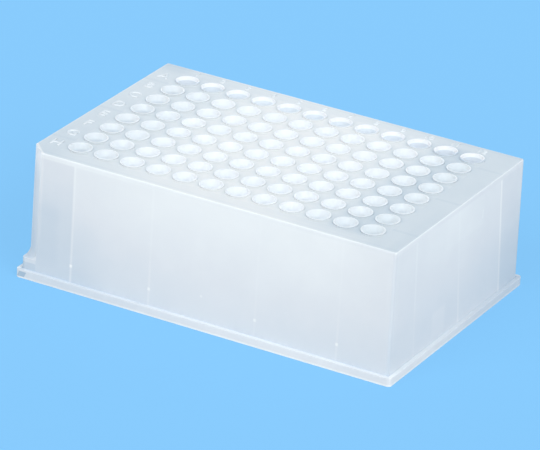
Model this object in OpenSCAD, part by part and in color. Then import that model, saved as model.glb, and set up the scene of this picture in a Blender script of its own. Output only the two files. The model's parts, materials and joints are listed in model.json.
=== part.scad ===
// 96-well deep-well microplate, injection moulded in one piece.
//
// The plate stands on z = 0 and is centred on the z axis. x runs along the
// columns (1 at -x, 12 at +x) and y across the rows (H at -y, A at +y).
// An open skirt with drafted walls carries a deck, from which the well tubes
// hang. One corner of the skirt, beside well H1, is cut off above the foot.

/* [Footprint] */
// Length of the base flange
base_l = 127.76; // [122:0.01:155]
// Width of the base flange
base_w = 85.48; // [81:0.01:105]
// Height of the base flange
flange_h = 2.7; // [1.5:0.1:6]
// How far the flange stands out from the skirt
flange_ledge = 1.2; // [0.4:0.1:2]
// Corner radius of the flange
flange_r = 1.2; // [1:0.1:6]

/* [Skirt and deck] */
// Height of the deck's upper face
deck_z = 41.8; // [27:0.1:55]
// Thickness of the deck
deck_t = 1.6; // [1:0.1:3]
// Thickness of the skirt wall
skirt_t = 1.3; // [0.8:0.1:2]
// Draft angle of the skirt walls
skirt_draft = 0.65; // [0:0.05:1.5]
// Corner radius of the skirt at the deck
skirt_r = 0.7; // [0.7:0.1:4]
// Radius that rounds the edge of the deck
deck_edge_r = 0.4; // [0.2:0.1:0.6]
// Depth of the stacking recess in the foot
stack_depth = 1.4; // [0.8:0.1:2.4]
// Play between the recess and the deck of the plate below
stack_clear = 0.25; // [0.1:0.05:0.6]

/* [Cut corner] */
// Length that the cut takes off each wall
notch_leg = 5; // [3:0.5:9]
// Height of the ledge that the cut ends on
notch_z = 6.4; // [4:0.1:12]
// Radius of the cove between the cut and its ledge
notch_cove_r = 2; // [1:0.1:4]

/* [Wells] */
// Rows of wells, A to H
rows = 8; // [1:1:8]
// Columns of wells, 1 to 12
cols = 12; // [1:1:12]
// Distance between the centres of neighbouring wells
pitch = 9; // [8:0.1:10]
// Diameter of a well at its mouth
well_d = 6.7; // [5:0.1:7.5]
// How much narrower a well is where its round bottom starts
well_taper = 0.5; // [0:0.1:1]
// Thickness of a tube wall at its mouth
tube_t = 0.5; // [0.4:0.05:1]
// Height of the tubes' lowest points above the foot
tube_foot_z = 2.95; // [2.2:0.05:20]
// Height of a well's raised rim above the deck
rim_h = 0.4; // [0.2:0.1:1]
// Width of a raised rim
rim_t = 0.4; // [0.25:0.05:0.8]

/* [Ribs] */
// Thickness of the ribs between the skirt and the tubes
rib_t = 1; // [0.6:0.1:1.6]
// Height of the ribs' lower ends
rib_z = 8.6; // [5:0.1:20]
// Width of the bead that carries a rib's line down the wall
bead_w = 0.8; // [0.4:0.1:1.5]
// How far that bead stands out from the wall
bead_t = 0.4; // [0.2:0.1:1]
// Thickness of the webs that join neighbouring tubes
web_t = 0.8; // [0.5:0.1:1.5]
// Height of the webs below the deck
web_h = 12; // [4:1:25]

/* [Hidden] */
$fn = 48;

// a cut that ends in a face goes this much past it
over = 1;
// what is joined overlaps by this much
bite = 0.1;

// half the skirt's outer size on z = 0
foot_x = base_l / 2 - flange_ledge;
foot_y = base_w / 2 - flange_ledge;
// to a thousandth of a millimetre, so that faces that meet share their corners
function fine(d) = round(1000 * d) / 1000;
// how far the drafted walls have come in at a height
function inset(z) = fine(z * tan(skirt_draft));
// the skirt's corner radius on z = 0
foot_r = skirt_r + inset(deck_z);
// half the deck's size and the recess that takes the deck of the plate below
recess_x = foot_x - inset(deck_z) + stack_clear;
recess_y = foot_y - inset(deck_z) + stack_clear;
recess_r = skirt_r + stack_clear;

// the underside of the deck, and the height of the rims
under_z = deck_z - deck_t;
rim_z = deck_z + rim_h;
// the radii of a well at its mouth and where its round bottom starts
well_r = well_d / 2;
well_foot_r = (well_d - well_taper) / 2;
// a tube is straight on its outside, and its round bottom has the same radius
tube_r = well_r + tube_t;
// where the round bottoms have their centres
bulb_z = tube_foot_z + tube_r;
// the span of the well centres
span_x = (cols - 1) * pitch;
span_y = (rows - 1) * pitch;

// the gaps between columns that carry a rib on the long walls, and the gaps
// between rows that carry one on the short walls, counted from the middle
long_rib_gaps = [for (g = [-5, -2, 2, 5]) if (abs(g) < cols / 2) g];
short_rib_gaps = [for (g = [-3, 0, 3]) if (abs(g) < rows / 2) g];

// points of an arc about (cx, cy) from angle a0 to angle a1
function arc(cx, cy, r, a0, a1, n) =
    [for (i = [0 : n]) let (a = a0 + (a1 - a0) * i / n) [cx + fine(r * cos(a)), cy + fine(r * sin(a))]];

// the outline of a drafted wall in its own plane: half is the distance of the
// wall from the axis on z = 0, and edge rounds the upper edge
function wall_points(half, z0, z1, edge) = concat(
    [[0, z0], [half - inset(z0), z0]],
    edge > 0
        ? arc(half - inset(z1 - edge) - edge, z1 - edge, edge, 0, 90, 6)
        : [[half - inset(z1), z1]],
    [[0, z1]]);

function mirrored(points) = concat(
    points,
    [for (i = [len(points) - 1 : -1 : 0]) if (points[i][0] > 0) [-points[i][0], points[i][1]]]);

// a block with drafted walls and round corners: hx, hy and r are its half
// sizes and corner radius on z = 0
module drafted_block(hx, hy, r, z0, z1, edge = 0) {
    translate([0, hy - r, 0])
        rotate([90, 0, 0])
            linear_extrude(height = 2 * (hy - r))
                polygon(mirrored(wall_points(hx, z0, z1, edge)));
    translate([-(hx - r), 0, 0])
        rotate([90, 0, 90])
            linear_extrude(height = 2 * (hx - r))
                polygon(mirrored(wall_points(hy, z0, z1, edge)));
    for (sx = [-1, 1], sy = [-1, 1])
        translate([sx * (hx - r), sy * (hy - r), 0])
            rotate_extrude()
                polygon(wall_points(r, z0, z1, edge));
}

// a block with upright walls and round corners
module upright_block(hx, hy, r, z0, z1) {
    translate([-hx, -(hy - r), z0])
        cube([2 * hx, 2 * (hy - r), z1 - z0]);
    translate([-(hx - r), -hy, z0])
        cube([2 * (hx - r), 2 * hy, z1 - z0]);
    for (sx = [-1, 1], sy = [-1, 1])
        translate([sx * (hx - r), sy * (hy - r), z0])
            cylinder(h = z1 - z0, r = r);
}

// what the corner beside well H1 loses; in moves the cut towards the inside
// of the plate, for the skirt's inner face
module corner_cut(in) {
    // distance of the cut from the axis at a height
    function away(z) = (foot_x + foot_y - 2 * inset(z) - notch_leg) / sqrt(2) - in;
    floor_z = notch_z - in;
    cove_r = notch_cove_r + in;
    far = foot_x + foot_y;
    rotate([0, 0, -135])
        rotate([90, 0, 0])
            translate([0, 0, -far / 2])
                linear_extrude(height = far)
                    polygon(concat(
                        arc(away(floor_z + cove_r) + cove_r, floor_z + cove_r, cove_r, 180, 270, 8),
                        [[far, floor_z], [far, deck_z + over], [away(deck_z + over), deck_z + over]]));
}

module flange() {
    upright_block(base_l / 2, base_w / 2, flange_r, 0, flange_h);
}

// the outside of the skirt and deck, as if solid
module outer_form() {
    flange();
    difference() {
        drafted_block(foot_x, foot_y, foot_r, 0, deck_z, deck_edge_r);
        corner_cut(0);
    }
}

// the hollow under the deck
module inner_form() {
    difference() {
        drafted_block(foot_x - skirt_t, foot_y - skirt_t, foot_r, -over, under_z);
        corner_cut(skirt_t);
    }
    upright_block(recess_x, recess_y, recess_r, -over, stack_depth);
}

// puts its children at the centre of each well
module each_well() {
    for (c = [0 : cols - 1], r = [0 : rows - 1])
        translate([c * pitch - span_x / 2, r * pitch - span_y / 2, 0])
            children();
}

// the outside of a well: the tube below the deck with its round bottom, and
// the raised rim above
module tube_form() {
    translate([0, 0, bulb_z])
        sphere(r = tube_r);
    translate([0, 0, bulb_z])
        cylinder(h = under_z + bite - bulb_z, r = tube_r);
    translate([0, 0, deck_z - bite])
        cylinder(h = rim_h + bite, r = well_r + rim_t);
}

// the hollow of a well
module well_form() {
    translate([0, 0, bulb_z])
        sphere(r = well_foot_r);
    translate([0, 0, bulb_z])
        cylinder(h = rim_z - bulb_z, r1 = well_foot_r, r2 = well_r);
}

// the ribs that tie the outer tubes to the skirt, each with its bead below
module skirt_ribs() {
    for (g = long_rib_gaps, s = [-1, 1])
        wall_rib(g * pitch, s * span_y / 2, foot_y - skirt_t, 90 * s);
    for (g = short_rib_gaps, s = [-1, 1])
        wall_rib(-s * g * pitch, s * span_x / 2, foot_x - skirt_t, 90 - 90 * s);
}

// one rib: across is its place along the wall, from where it starts at the
// tubes, to the wall's inner face on z = 0, and turn the way that it points
module wall_rib(across, from, to, turn) {
    start = abs(from);
    side = turn == 90 ? -1 : 1;
    rotate([0, 0, turn])
        translate([0, side * across, 0]) {
            translate([start, -rib_t / 2, rib_z])
                cube([to + bite - inset(rib_z) - start, rib_t, under_z + bite - rib_z]);
            translate([to - bead_t - inset(rib_z), -bead_w / 2, stack_depth])
                cube([bead_t + bite, bead_w, rib_z + bite - stack_depth]);
        }
}

// the webs that join neighbouring tubes along the rows and the columns
module webs() {
    for (r = [0 : rows - 1])
        translate([-span_x / 2, r * pitch - span_y / 2 - web_t / 2, under_z - web_h])
            cube([span_x, web_t, web_h + bite]);
    for (c = [0 : cols - 1])
        translate([c * pitch - span_x / 2 - web_t / 2, -span_y / 2, under_z - web_h])
            cube([web_t, span_y, web_h + bite]);
}

module well_plate() {
    color([0.88, 0.92, 0.95])
        difference() {
            union() {
                difference() {
                    outer_form();
                    inner_form();
                }
                skirt_ribs();
                webs();
                each_well()
                    tube_form();
            }
            each_well()
                well_form();
        }
}

well_plate();
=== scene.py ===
"""Deep-well plate: natural polypropylene, raised row and column legends, and a studio stage."""
import json
import math

import bmesh
import bpy
from mathutils import Matrix, Vector


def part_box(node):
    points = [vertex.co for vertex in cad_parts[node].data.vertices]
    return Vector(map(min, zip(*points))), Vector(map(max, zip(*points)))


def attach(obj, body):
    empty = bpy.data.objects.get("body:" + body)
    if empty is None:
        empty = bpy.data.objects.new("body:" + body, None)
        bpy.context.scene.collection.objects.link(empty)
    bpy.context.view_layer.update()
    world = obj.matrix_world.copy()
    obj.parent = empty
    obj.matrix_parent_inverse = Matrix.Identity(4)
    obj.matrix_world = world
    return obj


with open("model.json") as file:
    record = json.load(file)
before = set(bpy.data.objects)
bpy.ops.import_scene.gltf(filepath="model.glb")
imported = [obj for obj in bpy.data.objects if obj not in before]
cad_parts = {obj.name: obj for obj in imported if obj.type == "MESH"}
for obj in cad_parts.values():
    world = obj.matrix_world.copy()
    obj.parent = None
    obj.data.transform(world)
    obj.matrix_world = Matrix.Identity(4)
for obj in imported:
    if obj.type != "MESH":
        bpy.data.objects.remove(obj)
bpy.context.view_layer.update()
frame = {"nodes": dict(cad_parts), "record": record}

bl_info = {
    "name": "Deep-Well Plate",
    "version": (1, 0, 0),
    "blender": (4, 5, 0),
    "location": "3D View > Sidebar > Well Plate",
    "description": "Finish, legends and stage for a 96-well deep-well plate",
    "category": "Object",
}

PLATE = "well_plate"
PLATE_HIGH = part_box(PLATE)[1]
MOUNTS = {m["name"]: m for m in frame["record"]["mounts"]}
DECK_Z = MOUNTS["deck"]["pos_m"][2]
RIM_Z = MOUNTS["seal_plane"]["pos_m"][2]
ROWS = "ABCDEFGH"
COLUMNS = 12
PITCH = 0.009
FIRST_X = -PITCH * (COLUMNS - 1) / 2
FIRST_Y = PITCH * (len(ROWS) - 1) / 2


def linear(r, g, b):
    """A colour written in screen values from 0 to 255, as Blender stores it."""
    def one(v):
        v /= 255
        return v / 12.92 if v <= 0.04045 else ((v + 0.055) / 1.055) ** 2.4
    return one(r), one(g), one(b)


# ---------------------------------------------------------------- settings

class PlasticSettings(bpy.types.PropertyGroup):
    """The plate's natural polypropylene, whose colour carries painted light and shade: how much
    light stands behind each wall.
    """
    # each colour below stands for a level of painted light and shade, and the plastic goes from
    # one to the next as its painted brightness does
    lit_colour: bpy.props.FloatVectorProperty(
        name="Lit Colour", description="Colour where light fills the plastic, as inside a well",
        subtype="COLOR", size=3, min=0, max=1, default=linear(251, 253, 255))
    bright_colour: bpy.props.FloatVectorProperty(
        name="Bright Colour", description="Colour of the upper walls",
        subtype="COLOR", size=3, min=0, max=1, default=linear(234, 241, 245))
    deck_colour: bpy.props.FloatVectorProperty(
        name="Deck Colour", description="Colour of the middle of the deck",
        subtype="COLOR", size=3, min=0, max=1, default=linear(238, 239, 238))
    gap_colour: bpy.props.FloatVectorProperty(
        name="Gap Colour", description="Colour of the deck where it is dimmest",
        subtype="COLOR", size=3, min=0, max=1, default=linear(171, 189, 203))
    shade_colour: bpy.props.FloatVectorProperty(
        name="Shade Colour", description="Colour of the rims' shaded sides",
        subtype="COLOR", size=3, min=0, max=1, default=linear(176, 183, 186))
    margin_colour: bpy.props.FloatVectorProperty(
        name="Margin Colour", description="Colour of the deck's margins",
        subtype="COLOR", size=3, min=0, max=1, default=linear(222, 228, 231))
    # painted light and shade: the walls' colour at their usual painted brightness
    body_colour: bpy.props.FloatVectorProperty(
        name="Body Colour", description="Colour of a wall of usual thickness",
        subtype="COLOR", size=3, min=0, max=1, default=linear(220, 227, 234))
    dim_colour: bpy.props.FloatVectorProperty(
        name="Dim Colour", description="Colour where little light stands behind the plastic",
        subtype="COLOR", size=3, min=0, max=1, default=linear(165, 189, 209))
    # painted light: the legends are a little lighter than the deck, for the light that a raised
    # legend gathers
    legend_colour: bpy.props.FloatVectorProperty(
        name="Legend Colour", description="Colour of the raised letters and numbers",
        subtype="COLOR", size=3, min=0, max=1, default=linear(227, 233, 237))
    # painted glow: an emission in the wells' depths that stands in for light through the tubes'
    # walls
    depth_glow: bpy.props.FloatProperty(
        name="Depth Glow",
        description="How much light comes through the tubes' walls into the wells' depths",
        min=0, max=1, default=0.02)
    haze: bpy.props.FloatProperty(
        name="Haze", description="How much of the light spreads inside the plastic",
        subtype="FACTOR", min=0.0, max=1.0, default=0.15)
    haze_depth: bpy.props.FloatProperty(
        name="Haze Depth", description="How far that light spreads",
        subtype="DISTANCE", unit="LENGTH", min=0.0, max=0.02, default=0.0015)
    roughness: bpy.props.FloatProperty(
        name="Roughness", description="Roughness of the moulded surface",
        subtype="FACTOR", min=0, max=1, default=0.36)
    gloss: bpy.props.FloatProperty(
        name="Gloss", description="Strength of the surface's reflections",
        subtype="FACTOR", min=0, max=1, default=0.3)


class LegendSettings(bpy.types.PropertyGroup):
    """The raised row letters and column numbers."""
    letter_height: bpy.props.FloatProperty(
        name="Letter Height", description="Height of a row letter on the deck",
        subtype="DISTANCE", unit="LENGTH", min=0.001, max=0.006, default=0.0040)
    number_height: bpy.props.FloatProperty(
        name="Number Height", description="Height of a column number on the deck",
        subtype="DISTANCE", unit="LENGTH", min=0.001, max=0.004, default=0.0026)
    letter_x: bpy.props.FloatProperty(
        name="Letter Line", description="Where the middles of the row letters lie along the plate",
        subtype="DISTANCE", unit="LENGTH", default=-0.0576)
    number_y: bpy.props.FloatProperty(
        name="Number Line",
        description="Where the middles of the column numbers lie across the plate",
        subtype="DISTANCE", unit="LENGTH", default=0.0381)
    relief: bpy.props.FloatProperty(
        name="Relief", description="How far the legends stand up from the deck",
        subtype="DISTANCE", unit="LENGTH", min=0.0001, max=0.0004, default=0.00022)


class StageSettings(bpy.types.PropertyGroup):
    """The floor, the lamps and the camera."""
    floor_colour: bpy.props.FloatVectorProperty(
        name="Floor Colour", description="Colour of the floor and of the space behind it",
        subtype="COLOR", size=3, min=0, max=1, default=linear(137, 204, 254))
    view_azimuth: bpy.props.FloatProperty(
        name="View Azimuth", description="How far the camera stands round from the front",
        subtype="ANGLE", unit="ROTATION", default=math.radians(27.99))
    view_elevation: bpy.props.FloatProperty(
        name="View Elevation", description="How far the camera stands above the horizontal",
        subtype="ANGLE", unit="ROTATION", default=math.radians(24.655))
    view_roll: bpy.props.FloatProperty(
        name="View Roll", description="How far the camera is turned about its own axis",
        subtype="ANGLE", unit="ROTATION", default=math.radians(3.37))
    view_distance: bpy.props.FloatProperty(
        name="View Distance", description="Distance of the camera from the middle of the plate",
        subtype="DISTANCE", unit="LENGTH", min=0.2, max=5, default=1.3466)
    view_lens: bpy.props.FloatProperty(
        name="Lens", description="Focal length on a 36 mm wide sensor, in millimetres",
        min=20, max=600, default=298.6)
    left_strength: bpy.props.FloatProperty(
        name="Left Lamp", description="Strength of the lamp at the front left",
        min=0, max=10, default=1.3)
    right_strength: bpy.props.FloatProperty(
        name="Right Lamp", description="Strength of the lamp at the right",
        min=0, max=10, default=1.6)
    sky_strength: bpy.props.FloatProperty(
        name="Sky Light", description="Strength of the soft light from all round",
        min=0, max=3, default=0.5)


SETTINGS = {
    "plate_plastic": PlasticSettings,
    "plate_legend": LegendSettings,
    "plate_stage": StageSettings,
}


# ---------------------------------------------------------------- nodes

class Nodes:
    """Short calls that add nodes to one material and link them."""

    def __init__(self, tree):
        self.tree = tree
        tree.nodes.clear()

    def add(self, kind, **values):
        node = self.tree.nodes.new(kind)
        for key, value in values.items():
            setattr(node, key, value)
        return node

    def link(self, source, target):
        self.tree.links.new(source, target)

    def put(self, socket, value):
        if isinstance(value, bpy.types.NodeSocket):
            self.link(value, socket)
        else:
            socket.default_value = value

    def put_all(self, node, **values):
        """Fills a node's inputs by name, with _ for each space."""
        for name, value in values.items():
            self.put(node.inputs[name.replace("_", " ")], value)

    def math(self, operation, a, b=0.0, c=0.0):
        node = self.add("ShaderNodeMath", operation=operation)
        for socket, value in zip(node.inputs, (a, b, c)):
            self.put(socket, value)
        return node.outputs[0]

    def ramp(self, value, low, high, to_low=0.0, to_high=1.0):
        """A value that goes softly from to_low to to_high as another goes from low to high."""
        node = self.add("ShaderNodeMapRange", interpolation_type="SMOOTHSTEP")
        self.put_all(node, Value=value, From_Min=low, From_Max=high, To_Min=to_low, To_Max=to_high)
        return node.outputs["Result"]

    def mix(self, factor, a, b):
        """A colour that goes from a to b with the factor."""
        node = self.add("ShaderNodeMix", data_type="RGBA")
        for socket, value in zip((0, 6, 7), (factor, a, b)):
            self.put(node.inputs[socket], value)
        return node.outputs[2]

    def blend(self, factor, a, b):
        """A value that goes from a to b with the factor."""
        node = self.add("ShaderNodeMix", data_type="FLOAT")
        for socket, value in zip((0, 2, 3), (factor, a, b)):
            self.put(node.inputs[socket], value)
        return node.outputs[0]

    def tint(self, level, *stops):
        """The colour of a level, between stops of (level, colour)."""
        low, high = stops[0][0], stops[-1][0]
        node = self.add("ShaderNodeValToRGB")
        while len(node.color_ramp.elements) < len(stops):
            node.color_ramp.elements.new(0.5)
        for stop, (at, colour) in zip(node.color_ramp.elements, stops):
            stop.position = (at - low) / (high - low)
            stop.color = (*colour, 1)
        spread = self.add("ShaderNodeMapRange")
        self.put_all(spread, Value=level, From_Min=low, From_Max=high)
        self.link(spread.outputs[0], node.inputs[0])
        return node.outputs[0]

    def noise(self, coords, scale, detail):
        """A cloudy value between 0 and 1, mostly near the middle."""
        node = self.add("ShaderNodeTexNoise")
        self.put_all(node, Vector=coords, Scale=scale, Detail=detail, Roughness=0.5)
        return node.outputs["Fac"]

    def minus(self, a, b):
        return self.math("SUBTRACT", a, b)

    def total(self, *values):
        """The sum of all the values."""
        result = values[0]
        for value in values[1:]:
            result = self.math("ADD", result, value)
        return result

    def times(self, *values):
        """The product of all the values: masks, and the amount that they let through."""
        result = values[0]
        for value in values[1:]:
            result = self.math("MULTIPLY", result, value)
        return result

    def near(self, value, centre, half, soft):
        """1 within half of the centre, falling to 0 over the soft width beyond."""
        away = self.math("ABSOLUTE", self.minus(value, centre))
        return self.ramp(away, half, half + soft, 1.0, 0.0)

    def mix_shader(self, factor, a, b):
        node = self.add("ShaderNodeMixShader")
        for socket, source in zip(node.inputs, (factor, a, b)):
            self.link(source, socket)
        return node.outputs[0]

    def only_seen(self):
        """1 for rays from the camera or a reflection, 0 for those that light a surface."""
        path = self.add("ShaderNodeLightPath")
        return self.math("MAXIMUM", path.outputs["Is Camera Ray"], self.math(
            "MAXIMUM", path.outputs["Is Glossy Ray"], path.outputs["Is Transmission Ray"]))


# ---------------------------------------------------------------- tone map
#
# The plastic's colour follows a level, a screen value from 0 to 255, and the level follows the
# place on the plate. The level is painted light and shade: it stands in for the light that comes
# through the hazy plastic and for how the lamps light each part, with painted highlights along
# edges and painted shadows by the rims. From here to the materials, lengths are in millimetres. A
# mask is a ramp over a short stretch, so that its edge is soft, and what a mask lets through is
# how many levels brighter (or, below 0, dimmer) the plastic is there.

MM = 0.001
# the levels that the settings' colours stand for
DIM_LEVEL, BODY_LEVEL, BRIGHT_LEVEL, LIT_LEVEL = 186, 226, 240, 252
# the level of the deck's margins, and of the wells in the middle of the plate
MARGIN_LEVEL, WELL_LEVEL = 217.0, 250.2
# how much of the shade colour lies in front of a rim, and how much where it is strongest
SHADE, FULL_SHADE = 0.2, 0.36
# the plastic's faint clouds: how many there are in a metre, their detail, and their levels
CLOUD_SCALE, CLOUD_DETAIL, CLOUD_LEVELS = 90.0, 3.0, 1.2

# Heights of the deck and of the rims. Then, each for a ramp over z: where the deck's edge with its
# painted highlight starts, where its upper face does, and the wells' depths, where less light
# falls and a painted glow makes up for it.
DECK, RIM = DECK_Z / MM, RIM_Z / MM
DECK_EDGE = (39.8, 40.6)
DECK_FACE = (DECK - 0.12, DECK - 0.04)
DEPTHS = (DECK - 6, DECK - 14)
# the wells: the size of the cell that each stands in, and half that of all cells together
CELL = PITCH / MM
CELLS_X, CELLS_Y = CELL * COLUMNS / 2, CELL * len(ROWS) / 2
WELL_RADIUS, RIM_RADIUS = 3.35, 3.75
# row A, which stands against the back wall, for a ramp over y, and column 1, over x
ROW_A, COLUMN_1 = (26.8, 27.2), (-44, -46)
# the way to the front of a well, where the camera stands, along x and y
FRONT = (0.4, -0.9)
# the skirt: half its size at its foot, the slope of its walls, and the flange below it
LEDGE = 1.2
FLANGE_TOP = 2.7
SKIRT_X, SKIRT_Y = PLATE_HIGH[0] / MM - LEDGE, PLATE_HIGH[1] / MM - LEDGE
DRAFT = math.tan(math.radians(0.65))
# what counts as an outer face of the skirt, for a ramp over the depth inside it
OUTER_FACE = (0.7, 0.6)
# the cut corner: how much of each wall it takes, and the height of its foot
CUT_LEG = 5.0
CUT_FOOT = 6.4

# The ribs behind the long walls show through as lines of painted light: where each shows along the
# wall, how much brighter it is up to the deck, how much more low down, where its bead touches the
# wall, and at its foot, as a painted highlight.
LONG_RIBS = (
    (-45.4, 8, 2, 22),
    (-18.3, 2, 3, 14),
    (17.8, 1, 1, 14),
    (45.2, 1, 3, 18),
)
RIB_FOOT = 8.0
# The ribs behind the short walls show through as lines of painted light, a little slanted: where
# each shows on the floor, how far it leans for its height, how much brighter it is, and how much
# more low down.
SHORT_RIBS = (
    (-26.3, 0.04, 4.5, -2),
    (2.5, 0.09, 2.5, 4),
    (29.2, 0.071, 15, -3),
)
# where the ribs under the deck's short margins show through as bands of painted shade
MARGIN_BANDS = (-27.4, -0.6, 26.6)


class Place:
    """Where a point of the plate lies, as node values: the point in metres, the rest in mm."""

    def __init__(self, n):
        self.point = n.add("ShaderNodeTexCoord").outputs["Object"]
        axes = n.add("ShaderNodeSeparateXYZ")
        n.link(self.point, axes.inputs[0])
        self.x, self.y, self.z = (n.times(axis, 1 / MM) for axis in axes.outputs)
        self.left = n.times(self.x, -1.0)
        self.across, self.along = n.math("ABSOLUTE", self.x), n.math("ABSOLUTE", self.y)
        # how far inside the outer faces of the skirt and of the cut corner
        draft = n.times(self.z, DRAFT)
        self.in_x = n.minus(n.minus(SKIRT_X, draft), self.across)
        self.in_y = n.minus(n.minus(SKIRT_Y, draft), self.along)
        self.inside = n.math("MINIMUM", self.in_x, self.in_y)
        cut = n.total(SKIRT_X + SKIRT_Y - CUT_LEG, n.times(draft, -2.0), self.x, self.y)
        self.in_cut = n.times(cut, math.sqrt(0.5))
        # above 0 nearer to a long wall, below 0 nearer to a short one
        self.long_side = n.minus(self.in_x, self.in_y)
        # the place in the cell of one well, and how far in front of the well's middle it is
        first_x, first_y = FIRST_X / MM, FIRST_Y / MM
        self.cell_x = n.math("WRAP", n.minus(self.x, first_x), CELL / 2, -CELL / 2)
        self.cell_y = n.math("WRAP", n.minus(self.y, first_y), CELL / 2, -CELL / 2)
        self.radius = n.math("SQRT", n.total(
            n.times(self.cell_x, self.cell_x), n.times(self.cell_y, self.cell_y)))
        self.front = n.total(n.times(self.cell_x, FRONT[0]), n.times(self.cell_y, FRONT[1]))
        self.row_a = n.ramp(self.y, *ROW_A)

    def leaning(self, n, lean):
        """How far along the short walls it is, for lines that lean with their height."""
        return n.total(self.y, n.times(self.z, lean))


def long_wall(n, p):
    """How bright the long walls are painted, with painted light and shade: dimmer low down and
    towards the row letters.
    """
    past_rib = n.ramp(p.left, 44.9, 45.9)
    level = n.total(
        n.ramp(p.z, -4, 46, 218, 240),
        n.ramp(p.left, 8, 46, 0, -6),
        n.ramp(p.x, 35, 62, 0, -6),
        # the left-hand third is dimmer low down
        n.times(n.ramp(p.left, 30, 42), n.ramp(p.z, 32, 12), -4),
        # past its last rib it is dimmer higher up
        n.times(past_rib, n.ramp(p.z, 4, 26, -0.5, -7.5)),
        n.times(past_rib, n.near(p.z, 28, 3, 5), -2),
        n.times(n.ramp(p.left, 49, 52), n.near(p.z, 16, 6, 6), -4),
        # and beside the cut corner a little brighter
        n.times(n.ramp(p.left, 56.0, 56.6), n.ramp(p.z, 10, 18), 4),
        # the right-hand end is brighter low down and dimmer high up
        n.times(n.ramp(p.x, 48, 60), n.ramp(p.z, 10, 34, 3, -2.5)),
    )
    low = n.ramp(p.z, 22, 8)
    # painted light: each rib shows as a brighter line, with a painted highlight at its foot
    for place, gain, low_gain, foot_gain in LONG_RIBS:
        line = n.near(p.x, place, 0.1, 0.5)
        foot = n.times(n.near(p.x, place, 0.2, 0.5), n.near(p.z, RIB_FOOT, 0.2, 0.5))
        level = n.total(level, n.times(line, n.blend(low, gain, gain + low_gain)),
                        n.times(foot, foot_gain))
    # a small bright mark low down in the middle
    mark = n.times(n.near(p.x, -0.5, 0.1, 0.5), n.near(p.z, 10.6, 0.1, 0.5))
    level = n.total(level, n.times(mark, 10))
    # the deck's thick edge and its rounding, with a painted highlight over them
    edge = n.total(
        n.ramp(p.left, 35, 58, 239, 235),
        n.ramp(p.x, 15, 40, 0, -3),
        n.ramp(p.x, 44, 60, 0, -6),
        n.ramp(p.z, 41.4, 41.6, 0, -5),
    )
    return n.blend(n.ramp(p.z, *DECK_EDGE), level, edge)


def short_wall(n, p):
    """How bright the short walls are painted, with painted light and shade: dimmest low down at
    the back.
    """
    place, lean = SHORT_RIBS[-1][:2]
    past_rib = n.ramp(p.leaning(n, lean), place - 0.5, place + 0.3)
    level = n.total(
        n.ramp(p.z, 4, 40, 218, 235),
        n.ramp(p.y, 0, 25, 0, -4.5),
        # past the last rib it is dimmer, and low down beside the back corner more so
        n.times(past_rib, n.ramp(p.z, 12, 32, -7.5, -6)),
        n.times(n.ramp(p.y, 28, 42), n.ramp(p.z, 36, 6, 0, -4)),
        # the front third is dimmer high up
        n.times(n.ramp(p.y, -12, -32), n.ramp(p.z, 16, 34, 0, -4)),
        # two faint brighter patches, above the middle and low down in front of it
        n.times(n.near(p.y, 3, 11, 2), n.ramp(p.z, 29.6, 30.4, 0, 1.5)),
        n.times(n.near(p.y, -11, 3, 2), n.near(p.z, 8.5, 3, 2), 4),
    )
    low = n.ramp(p.z, 24, 12)
    for place, lean, gain, low_gain in SHORT_RIBS:
        line = n.near(p.leaning(n, lean), place, 0.2, 0.6)
        level = n.total(level, n.times(line, n.blend(low, gain, gain + low_gain)))
    # a short bright mark high up between two ribs
    mark = n.times(n.near(p.y, 14.7, 0.1, 0.4), n.near(p.z, 33.5, 1.2, 0.5))
    level = n.total(level, n.times(mark, 6))
    # the deck's edge, with a painted highlight along it
    return n.blend(n.ramp(p.z, *DECK_EDGE), level, n.ramp(p.y, -40, 41, 235, 229))


def flange_level(n, p):
    """How bright the flange's own outer faces are painted, with painted highlights along their
    upper and lower edges.
    """
    long_side = n.total(n.ramp(p.x, -58, 20, 214, 226), n.ramp(p.x, 40, 60, 0, -4))
    short_side = n.ramp(p.y, -30, 42, 228, 206)
    upper_edge = n.ramp(p.z, FLANGE_TOP - 0.6, FLANGE_TOP - 0.1)
    # painted shade: the hollow behind the corner below the cut shows through as a slanted darker
    # patch
    patch = n.times(n.near(n.total(p.x, n.times(p.z, -0.5)), -62.4, 1.0, 0.4),
                    n.near(p.z, 1.3, 0.6, 0.4))
    return n.total(
        n.blend(n.ramp(p.long_side, 0, 0.1), short_side, long_side),
        n.times(upper_edge, n.ramp(p.long_side, 0, 0.1, 8, 5)),
        n.ramp(p.z, 0.8, 0.3, 0, 14),
        n.times(patch, n.ramp(p.y, 0, -40, 0, -42)),
    )


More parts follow.
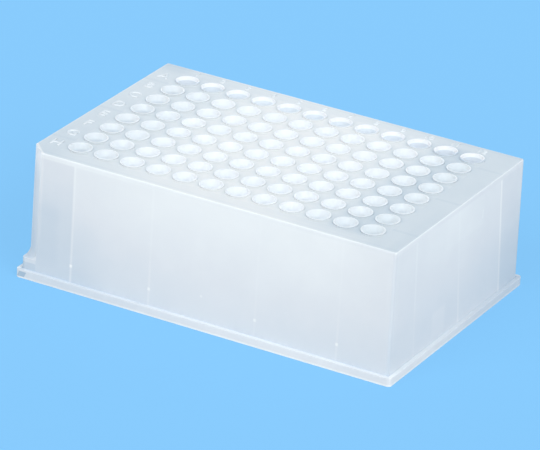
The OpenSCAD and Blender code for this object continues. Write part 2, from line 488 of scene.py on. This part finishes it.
def deck_level(n, p):
    """How bright the deck is painted: painted light makes it brightest in the middle, where wells
    stand all round.
    """
    middle = n.times(
        n.ramp(p.x, -52, -14),
        n.ramp(p.x, 46, 11),
        n.ramp(p.y, 29, 41, 1.0, 0.55),
        n.total(1.0, n.times(n.near(p.y, -24, 5, 14), -0.15)),
    )
    letter_margin = n.ramp(p.x, -50, -56)
    back_margin = n.times(n.ramp(p.y, 36, 40), n.ramp(p.x, 20, -10), n.ramp(p.x, -62, -50))
    front_margin = n.times(n.ramp(p.y, -37, -39.5), n.near(p.x, 33, 12, 12))
    last_gap = n.times(n.near(p.x, 44, 4, 7), n.ramp(p.along, 37, 35))
    level = n.total(
        MARGIN_LEVEL,
        n.times(middle, 16),
        n.ramp(p.x, 50, 54, 0, -2.5),
        # the margin at the right is dimmer towards its front
        n.times(n.ramp(p.x, 57, 60), n.ramp(p.y, 0, -18, 0, -3)),
        # the margin beside the row letters is lit more towards row A, but for its back corner
        n.times(letter_margin, n.ramp(p.y, -36, 24, -4, 2)),
        n.times(letter_margin, n.ramp(p.y, 32, 39, 0, -9)),
        # the deck is dimmer just inside its long edges
        n.times(n.near(p.in_y, 1.3, 0.5, 0.5), -3),
        # painted light: the long margins are brighter in places, with a painted highlight at the
        # very edge of the back one
        n.times(back_margin, 4),
        n.times(back_margin, n.ramp(p.in_y, 1.2, 0.6, 0, 7)),
        n.times(front_margin, 4),
        # painted highlights: light gathers in its edges at the cut corner and along the row
        # letters
        n.times(n.ramp(p.x, 0, -20), n.ramp(p.in_x, 1.0, 0.5, 0, 9)),
        n.ramp(p.in_cut, 0.9, 0.4, 0, 20),
        # the last gap between columns shows dim
        n.times(last_gap, -10),
    )
    short_margins = n.ramp(p.across, 53.2, 53.6)
    for place in MARGIN_BANDS:
        level = n.total(level, n.times(short_margins, n.near(p.y, place, 0.4, 0.5), -4))
    return level


def mouth_level(n, p):
    """How bright the wells are painted: painted light, as light fills their walls from all round.
    """
    level = n.total(
        WELL_LEVEL,
        # less so at the right, at the left and at the front of the plate
        n.ramp(p.x, 22, 52, 0, -6),
        n.ramp(p.x, -24, -54, 0, -4.5),
        n.ramp(p.y, -9, -36, 0, -1),
        # and on the left of each well
        n.ramp(p.cell_x, -2.5, 1.5, -3, 0.6),
    )
    return n.blend(n.times(p.row_a, n.ramp(p.front, 2, 0)), level, LIT_LEVEL)


def well_dimming(n, p):
    """How much painted shade dims some wells a little way down, on the side that faces the front.
    """
    far_half = n.ramp(p.front, 1, 0)
    above = n.ramp(p.z, DECK - 4.0, DECK - 3.4)
    # painted light and shade: row A stands against the wall, and only the mouths of its wells are
    # painted bright
    fade = n.total(n.ramp(p.x, 5, 35, -17, -24), n.ramp(p.x, -30, -50, 0, -7))
    row_a = n.times(p.row_a, n.ramp(p.z, DECK - 0.6, DECK - 1.1), fade)
    # column 1 stands beside the wall, and a little less light reaches down its wells
    column_1 = n.times(n.ramp(p.x, *COLUMN_1), n.minus(1.0, p.row_a),
                       n.ramp(p.z, DECK - 1.3, DECK - 2.3), -12)
    return n.times(far_half, above, n.total(row_a, column_1))


def well_levels(n, p, level):
    """The level with the rims and wells in it, where the wells are, and how grey the shade is."""
    cells = n.times(n.ramp(p.across, CELLS_X - 0.1, CELLS_X - 0.2),
                    n.ramp(p.along, CELLS_Y - 0.1, CELLS_Y - 0.2))
    top = n.times(cells, n.ramp(p.z, DECK - 0.05, DECK))
    rim = n.times(top, n.ramp(p.radius, RIM_RADIUS + 0.05, RIM_RADIUS))
    rim_top = n.times(rim, n.ramp(p.z, RIM - 0.05, RIM - 0.02))
    bore = n.times(cells, n.ramp(p.radius, WELL_RADIUS + 0.1, WELL_RADIUS + 0.05))
    well = n.math("MAXIMUM", bore, rim_top)
    # painted light: the deck is brighter where four wells meet
    level = n.total(level, n.times(top, n.ramp(p.radius, 4.4, 6.0), 4))
    # painted shadow greys the deck in front of each rim, and painted shade the rim's own front; in
    # row A less so
    before_rim = n.times(top, n.ramp(p.front, 2.4, 4.2), n.ramp(p.radius, 5.4, 3.9),
                         n.ramp(p.row_a, 0, 1, 1, 0.3),
                         n.ramp(p.x, *COLUMN_1, SHADE, FULL_SHADE))
    rim_front = n.times(n.ramp(p.front, -3.7, 3.7), n.ramp(p.row_a, 0, 1, 1, 0.8), FULL_SHADE)
    shade = n.times(n.minus(1.0, well), n.blend(rim, before_rim, rim_front))
    # painted light: the rims' tops are nearly as bright as the wells, but for the near halves of
    # row A's
    mouth = mouth_level(n, p)
    near_half = n.times(p.row_a, n.ramp(p.front, -0.5, 1.0))
    ring = n.blend(near_half, n.total(mouth, -4), level)
    level = n.blend(rim_top, level, ring)
    return n.blend(bore, level, n.total(mouth, well_dimming(n, p))), well, shade


def plastic_level(n, p):
    """How bright the plastic shows at each place of the plate but its rims and wells."""
    # the skirt's outer faces, and everything that lies deeper inside
    walls = n.blend(n.ramp(p.long_side, -0.05, 0.05), short_wall(n, p), long_wall(n, p))
    # painted shade: where the long and short walls meet, both lamps reach the rounding, so it is
    # made dimmer
    corner = n.times(n.ramp(n.math("MAXIMUM", p.in_x, p.in_y), 1.3, 0.4), n.ramp(p.z, 41.4, 40.6))
    walls = n.total(walls, n.times(corner, -8))
    level = n.blend(n.ramp(p.inside, *OUTER_FACE), n.ramp(p.z, 0, DECK, 205, 214), walls)
    # painted light: the cut corner's own face, brightest at its top
    cut = n.times(n.ramp(n.minus(p.inside, p.in_cut), -0.05, 0.05), n.ramp(p.in_cut, *OUTER_FACE),
                  n.ramp(p.z, CUT_FOOT - 0.1, CUT_FOOT))
    level = n.blend(cut, level, n.total(
        n.ramp(p.z, 4, 34, 216, 230), n.ramp(p.z, 31, 41, 0, 22), n.ramp(p.x, -62, -57.5, -5, 5)))
    # the block below the cut: painted shade, with a painted highlight on its upper edge
    block = n.times(n.ramp(p.in_cut, 0.1, -0.3), n.ramp(p.inside, 0.6, 0.5),
                    n.ramp(p.z, CUT_FOOT + 0.1, CUT_FOOT))
    level = n.total(level, n.times(block, n.blend(n.ramp(p.z, 4.9, 5.3), -6, 8)))
    flange = n.times(n.ramp(p.inside, -0.05, -0.15), n.ramp(p.z, FLANGE_TOP + 0.1, FLANGE_TOP))
    level = n.blend(flange, level, flange_level(n, p))
    return n.blend(n.ramp(p.z, *DECK_FACE), level, deck_level(n, p))


# ---------------------------------------------------------------- materials

IOR = 1.49


def natural_plastic(settings):
    """Hazy moulded polypropylene, with painted light and shade in its colour."""
    mat = bpy.data.materials.new("natural_polypropylene")
    mat.use_nodes = True
    n = Nodes(mat.node_tree)
    out = n.add("ShaderNodeOutputMaterial")
    skin = n.add("ShaderNodeBsdfPrincipled")
    n.link(skin.outputs[0], out.inputs["Surface"])
    place = Place(n)
    level, well, shade = well_levels(n, place, plastic_level(n, place))
    clouds = n.noise(place.point, CLOUD_SCALE, CLOUD_DETAIL)
    level = n.total(level, n.ramp(clouds, 0.3, 0.7, -CLOUD_LEVELS, CLOUD_LEVELS))
    walls = n.tint(level, (DIM_LEVEL, settings.dim_colour), (BODY_LEVEL, settings.body_colour),
                   (BRIGHT_LEVEL, settings.bright_colour), (LIT_LEVEL, settings.lit_colour))
    deck = n.tint(level, (DIM_LEVEL, settings.gap_colour), (BODY_LEVEL, settings.margin_colour),
                  (BRIGHT_LEVEL, settings.deck_colour), (LIT_LEVEL, settings.lit_colour))
    top = n.times(n.ramp(place.z, *DECK_FACE), n.minus(1.0, well))
    n.link(n.mix(shade, n.mix(top, walls, deck), (*settings.shade_colour, 1)),
           skin.inputs["Base Color"])
    # a faint painted glow, emission in the wells' depths, stands in for the light that comes
    # through the tubes' walls and keeps the depths from going dark
    glow = n.times(well, n.ramp(place.z, *DEPTHS), settings.depth_glow)
    n.put(skin.inputs["Emission Color"], (*settings.lit_colour, 1))
    n.put(skin.inputs["Emission Strength"], glow)
    skin.subsurface_method = "RANDOM_WALK"
    skin.inputs["Subsurface Weight"].default_value = settings.haze
    skin.inputs["Subsurface Radius"].default_value = (1.0, 1.0, 1.0)
    skin.inputs["Subsurface Scale"].default_value = settings.haze_depth
    skin.inputs["Roughness"].default_value = settings.roughness
    skin.inputs["IOR"].default_value = IOR
    skin.inputs["Specular IOR Level"].default_value = settings.gloss
    return mat


def legend_plastic(settings):
    """The same plastic, painted lighter where a raised legend gathers the light."""
    mat = bpy.data.materials.new("legend_polypropylene")
    mat.use_nodes = True
    skin = mat.node_tree.nodes["Principled BSDF"]
    skin.inputs["Base Color"].default_value = (*settings.legend_colour, 1)
    skin.inputs["Roughness"].default_value = settings.roughness
    skin.inputs["IOR"].default_value = IOR
    return mat


# ---------------------------------------------------------------- pieces

# Blender's own font: how high a capital is for its size. The strokes are thinned by the
# offset, and each curve of the outline gets a few steps. Points nearer than WELD are one.
CAPITAL = 0.73
STROKE_OFFSET = -0.03 * MM
CURVE_STEPS = 3
WELD = 1e-7


def legend(name, words, height, relief):
    """One mesh of raised words; words is a list of (text, x, y) on the deck."""
    done = bmesh.new()
    for text, x, y in words:
        curve = bpy.data.curves.new(name, "FONT")
        curve.body = text
        curve.align_x = "CENTER"
        curve.size = height / CAPITAL
        curve.extrude = relief
        curve.offset = STROKE_OFFSET
        curve.resolution_u = CURVE_STEPS
        maker = bpy.data.objects.new(name, curve)
        flat = bpy.data.meshes.new_from_object(maker)
        flat.transform(Matrix.Translation((x, y - height / 2, DECK_Z)))
        done.from_mesh(flat)
        bpy.data.objects.remove(maker)
        bpy.data.curves.remove(curve)
        bpy.data.meshes.remove(flat)
    bmesh.ops.remove_doubles(done, verts=done.verts, dist=WELD)
    bmesh.ops.recalc_face_normals(done, faces=done.faces)
    mesh = bpy.data.meshes.new(name)
    done.to_mesh(mesh)
    done.free()
    piece = bpy.data.objects.new(name, mesh)
    bpy.context.scene.collection.objects.link(piece)
    return piece


def finish_piece(piece):
    """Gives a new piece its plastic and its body."""
    mat = bpy.data.materials.get("legend_polypropylene")
    if mat is None:
        mat = legend_plastic(bpy.context.scene.plate_plastic)
    piece.data.materials.clear()
    piece.data.materials.append(mat)
    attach(piece, "root")


class WELLPLATE_OT_plastic(bpy.types.Operator):
    """Give the moulded plate its natural polypropylene"""
    bl_idname = "wellplate.plastic"
    bl_label = "Finish Plastic"

    def execute(self, context):
        plate = frame["nodes"][PLATE]
        mat = natural_plastic(context.scene.plate_plastic)
        for slot in plate.material_slots:
            slot.material = mat
        return {"FINISHED"}


class WELLPLATE_OT_row_letters(bpy.types.Operator):
    """Add the raised row letters at the left of the deck"""
    bl_idname = "wellplate.row_letters"
    bl_label = "Add Row Letters"

    def execute(self, context):
        s = context.scene.plate_legend
        words = [(letter, s.letter_x, FIRST_Y - i * PITCH) for i, letter in enumerate(ROWS)]
        finish_piece(legend("row_letters", words, s.letter_height, s.relief))
        return {"FINISHED"}


class WELLPLATE_OT_column_numbers(bpy.types.Operator):
    """Add the raised column numbers along the back of the deck"""
    bl_idname = "wellplate.column_numbers"
    bl_label = "Add Column Numbers"

    def execute(self, context):
        s = context.scene.plate_legend
        words = [(str(i + 1), FIRST_X + i * PITCH, s.number_y) for i in range(COLUMNS)]
        finish_piece(legend("column_numbers", words, s.number_height, s.relief))
        return {"FINISHED"}


# ---------------------------------------------------------------- stage

# half the floor's side, in metres
FLOOR_SIZE = 4
# The floor glows a little to the eye, which keeps its colour, and takes a soft shadow with
# the rest. The light that it throws back onto the plate is nearly neutral.
FLOOR_GLOW = 0.8
FLOOR_PAINT = 0.9
FLOOR_BOUNCE = (0.62, 0.63, 0.64)
# the point that the view turns about, and how far to the right of and above the line to it
# the camera stands, in metres
VIEW_CENTRE = Vector((0, 0, 0.020))
VIEW_RIGHT, VIEW_UP = -0.00095, -0.00150
# the camera's sensor, in millimetres, and how near and far it sees, in metres
SENSOR = 36
NEAREST, FARTHEST = 0.01, 20
# both lamps, and where each stands round from the front, in degrees
LAMP_ELEVATION, LAMP_SPREAD = 38, 40
LEFT_AZIMUTH, RIGHT_AZIMUTH = -17, 73
# the wells are white and deep, so their light is bounced many times
LIGHT_BOUNCES = 64


def floor_material(colour):
    """A plain floor that keeps its colour to the eye and still takes a soft shadow."""
    mat = bpy.data.materials.new("floor")
    mat.use_nodes = True
    n = Nodes(mat.node_tree)
    out = n.add("ShaderNodeOutputMaterial")
    paint = n.add("ShaderNodeBsdfDiffuse")
    glow = n.add("ShaderNodeEmission")
    glow.inputs["Color"].default_value = (*colour, 1)
    seen = n.only_seen()
    painted = (*(FLOOR_PAINT * c for c in colour), 1)
    n.link(n.mix(seen, (*FLOOR_BOUNCE, 1), painted), paint.inputs["Color"])
    n.link(n.mix_shader(n.times(seen, FLOOR_GLOW), paint.outputs[0], glow.outputs[0]),
           out.inputs["Surface"])
    return mat


def build_world(settings):
    """A white sky that lights the plate, with the floor's colour where it is seen."""
    world = bpy.data.worlds.new("studio")
    world.use_nodes = True
    n = Nodes(world.node_tree)
    out = n.add("ShaderNodeOutputWorld")
    sky = n.add("ShaderNodeBackground")
    back = n.add("ShaderNodeBackground")
    sky.inputs["Color"].default_value = (1, 1, 1, 1)
    sky.inputs["Strength"].default_value = settings.sky_strength
    back.inputs["Color"].default_value = (*settings.floor_colour, 1)
    n.link(n.mix_shader(n.only_seen(), sky.outputs[0], back.outputs[0]), out.inputs["Surface"])
    bpy.context.scene.world = world


def direction(azimuth, elevation):
    """The way to a point so far round from the front and so far up, in radians."""
    flat = math.cos(elevation)
    return Vector((math.sin(azimuth) * flat, -math.cos(azimuth) * flat, math.sin(elevation)))


def place_camera(s):
    """Points the camera at the plate, level but for its roll."""
    back = direction(s.view_azimuth, s.view_elevation)
    level = Vector((math.cos(s.view_azimuth), math.sin(s.view_azimuth), 0))
    lift = back.cross(level)
    right = level * math.cos(s.view_roll) + lift * math.sin(s.view_roll)
    up = lift * math.cos(s.view_roll) - level * math.sin(s.view_roll)
    data = bpy.data.cameras.new("camera")
    data.sensor_width = SENSOR
    data.lens = s.view_lens
    data.clip_start, data.clip_end = NEAREST, FARTHEST
    camera = bpy.data.objects.new("camera", data)
    bpy.context.scene.collection.objects.link(camera)
    place = VIEW_CENTRE + back * s.view_distance + right * VIEW_RIGHT + up * VIEW_UP
    turned = Matrix((right, up, back)).transposed().to_4x4()
    camera.matrix_world = Matrix.Translation(place) @ turned
    bpy.context.scene.camera = camera


def sun(name, strength, azimuth):
    """A soft lamp far away, azimuth measured in degrees from the front towards the right."""
    data = bpy.data.lights.new(name, "SUN")
    data.energy = strength
    data.angle = math.radians(LAMP_SPREAD)
    lamp = bpy.data.objects.new(name, data)
    bpy.context.scene.collection.objects.link(lamp)
    source = direction(math.radians(azimuth), math.radians(LAMP_ELEVATION))
    lamp.matrix_world = source.to_track_quat("Z", "Y").to_matrix().to_4x4()


class WELLPLATE_OT_stage(bpy.types.Operator):
    """Set up the floor, the lamps and the camera"""
    bl_idname = "wellplate.stage"
    bl_label = "Build Stage"

    def execute(self, context):
        s = context.scene.plate_stage
        bm = bmesh.new()
        bmesh.ops.create_grid(bm, x_segments=1, y_segments=1, size=FLOOR_SIZE)
        mesh = bpy.data.meshes.new("floor")
        bm.to_mesh(mesh)
        bm.free()
        floor = bpy.data.objects.new("floor", mesh)
        context.scene.collection.objects.link(floor)
        mesh.materials.append(floor_material(s.floor_colour))
        build_world(s)
        place_camera(s)
        sun("left_lamp", s.left_strength, LEFT_AZIMUTH)
        sun("right_lamp", s.right_strength, RIGHT_AZIMUTH)
        context.scene.view_settings.view_transform = "Standard"
        context.scene.cycles.max_bounces = LIGHT_BOUNCES
        context.scene.cycles.diffuse_bounces = LIGHT_BOUNCES
        return {"FINISHED"}


class WELLPLATE_PT_panel(bpy.types.Panel):
    """The plate's steps and settings"""
    bl_idname = "WELLPLATE_PT_panel"
    bl_label = "Well Plate"
    bl_space_type = "VIEW_3D"
    bl_region_type = "UI"
    bl_category = "Well Plate"

    def draw(self, context):
        for operator in OPERATORS:
            self.layout.operator(operator.bl_idname)
        for group in SETTINGS:
            box = self.layout.box()
            for prop in SETTINGS[group].__annotations__:
                box.prop(getattr(context.scene, group), prop)


OPERATORS = (
    WELLPLATE_OT_plastic,
    WELLPLATE_OT_row_letters,
    WELLPLATE_OT_column_numbers,
    WELLPLATE_OT_stage,
)
CLASSES = (*SETTINGS.values(), *OPERATORS, WELLPLATE_PT_panel)


def register():
    for cls in CLASSES:
        bpy.utils.register_class(cls)
    for name, group in SETTINGS.items():
        setattr(bpy.types.Scene, name, bpy.props.PointerProperty(type=group))


def unregister():
    for name in SETTINGS:
        delattr(bpy.types.Scene, name)
    for cls in reversed(CLASSES):
        bpy.utils.unregister_class(cls)


def main():
    register()
    bpy.ops.wellplate.plastic()
    bpy.ops.wellplate.row_letters()
    bpy.ops.wellplate.column_numbers()
    bpy.ops.wellplate.stage()


if __name__ == "__main__":
    main()
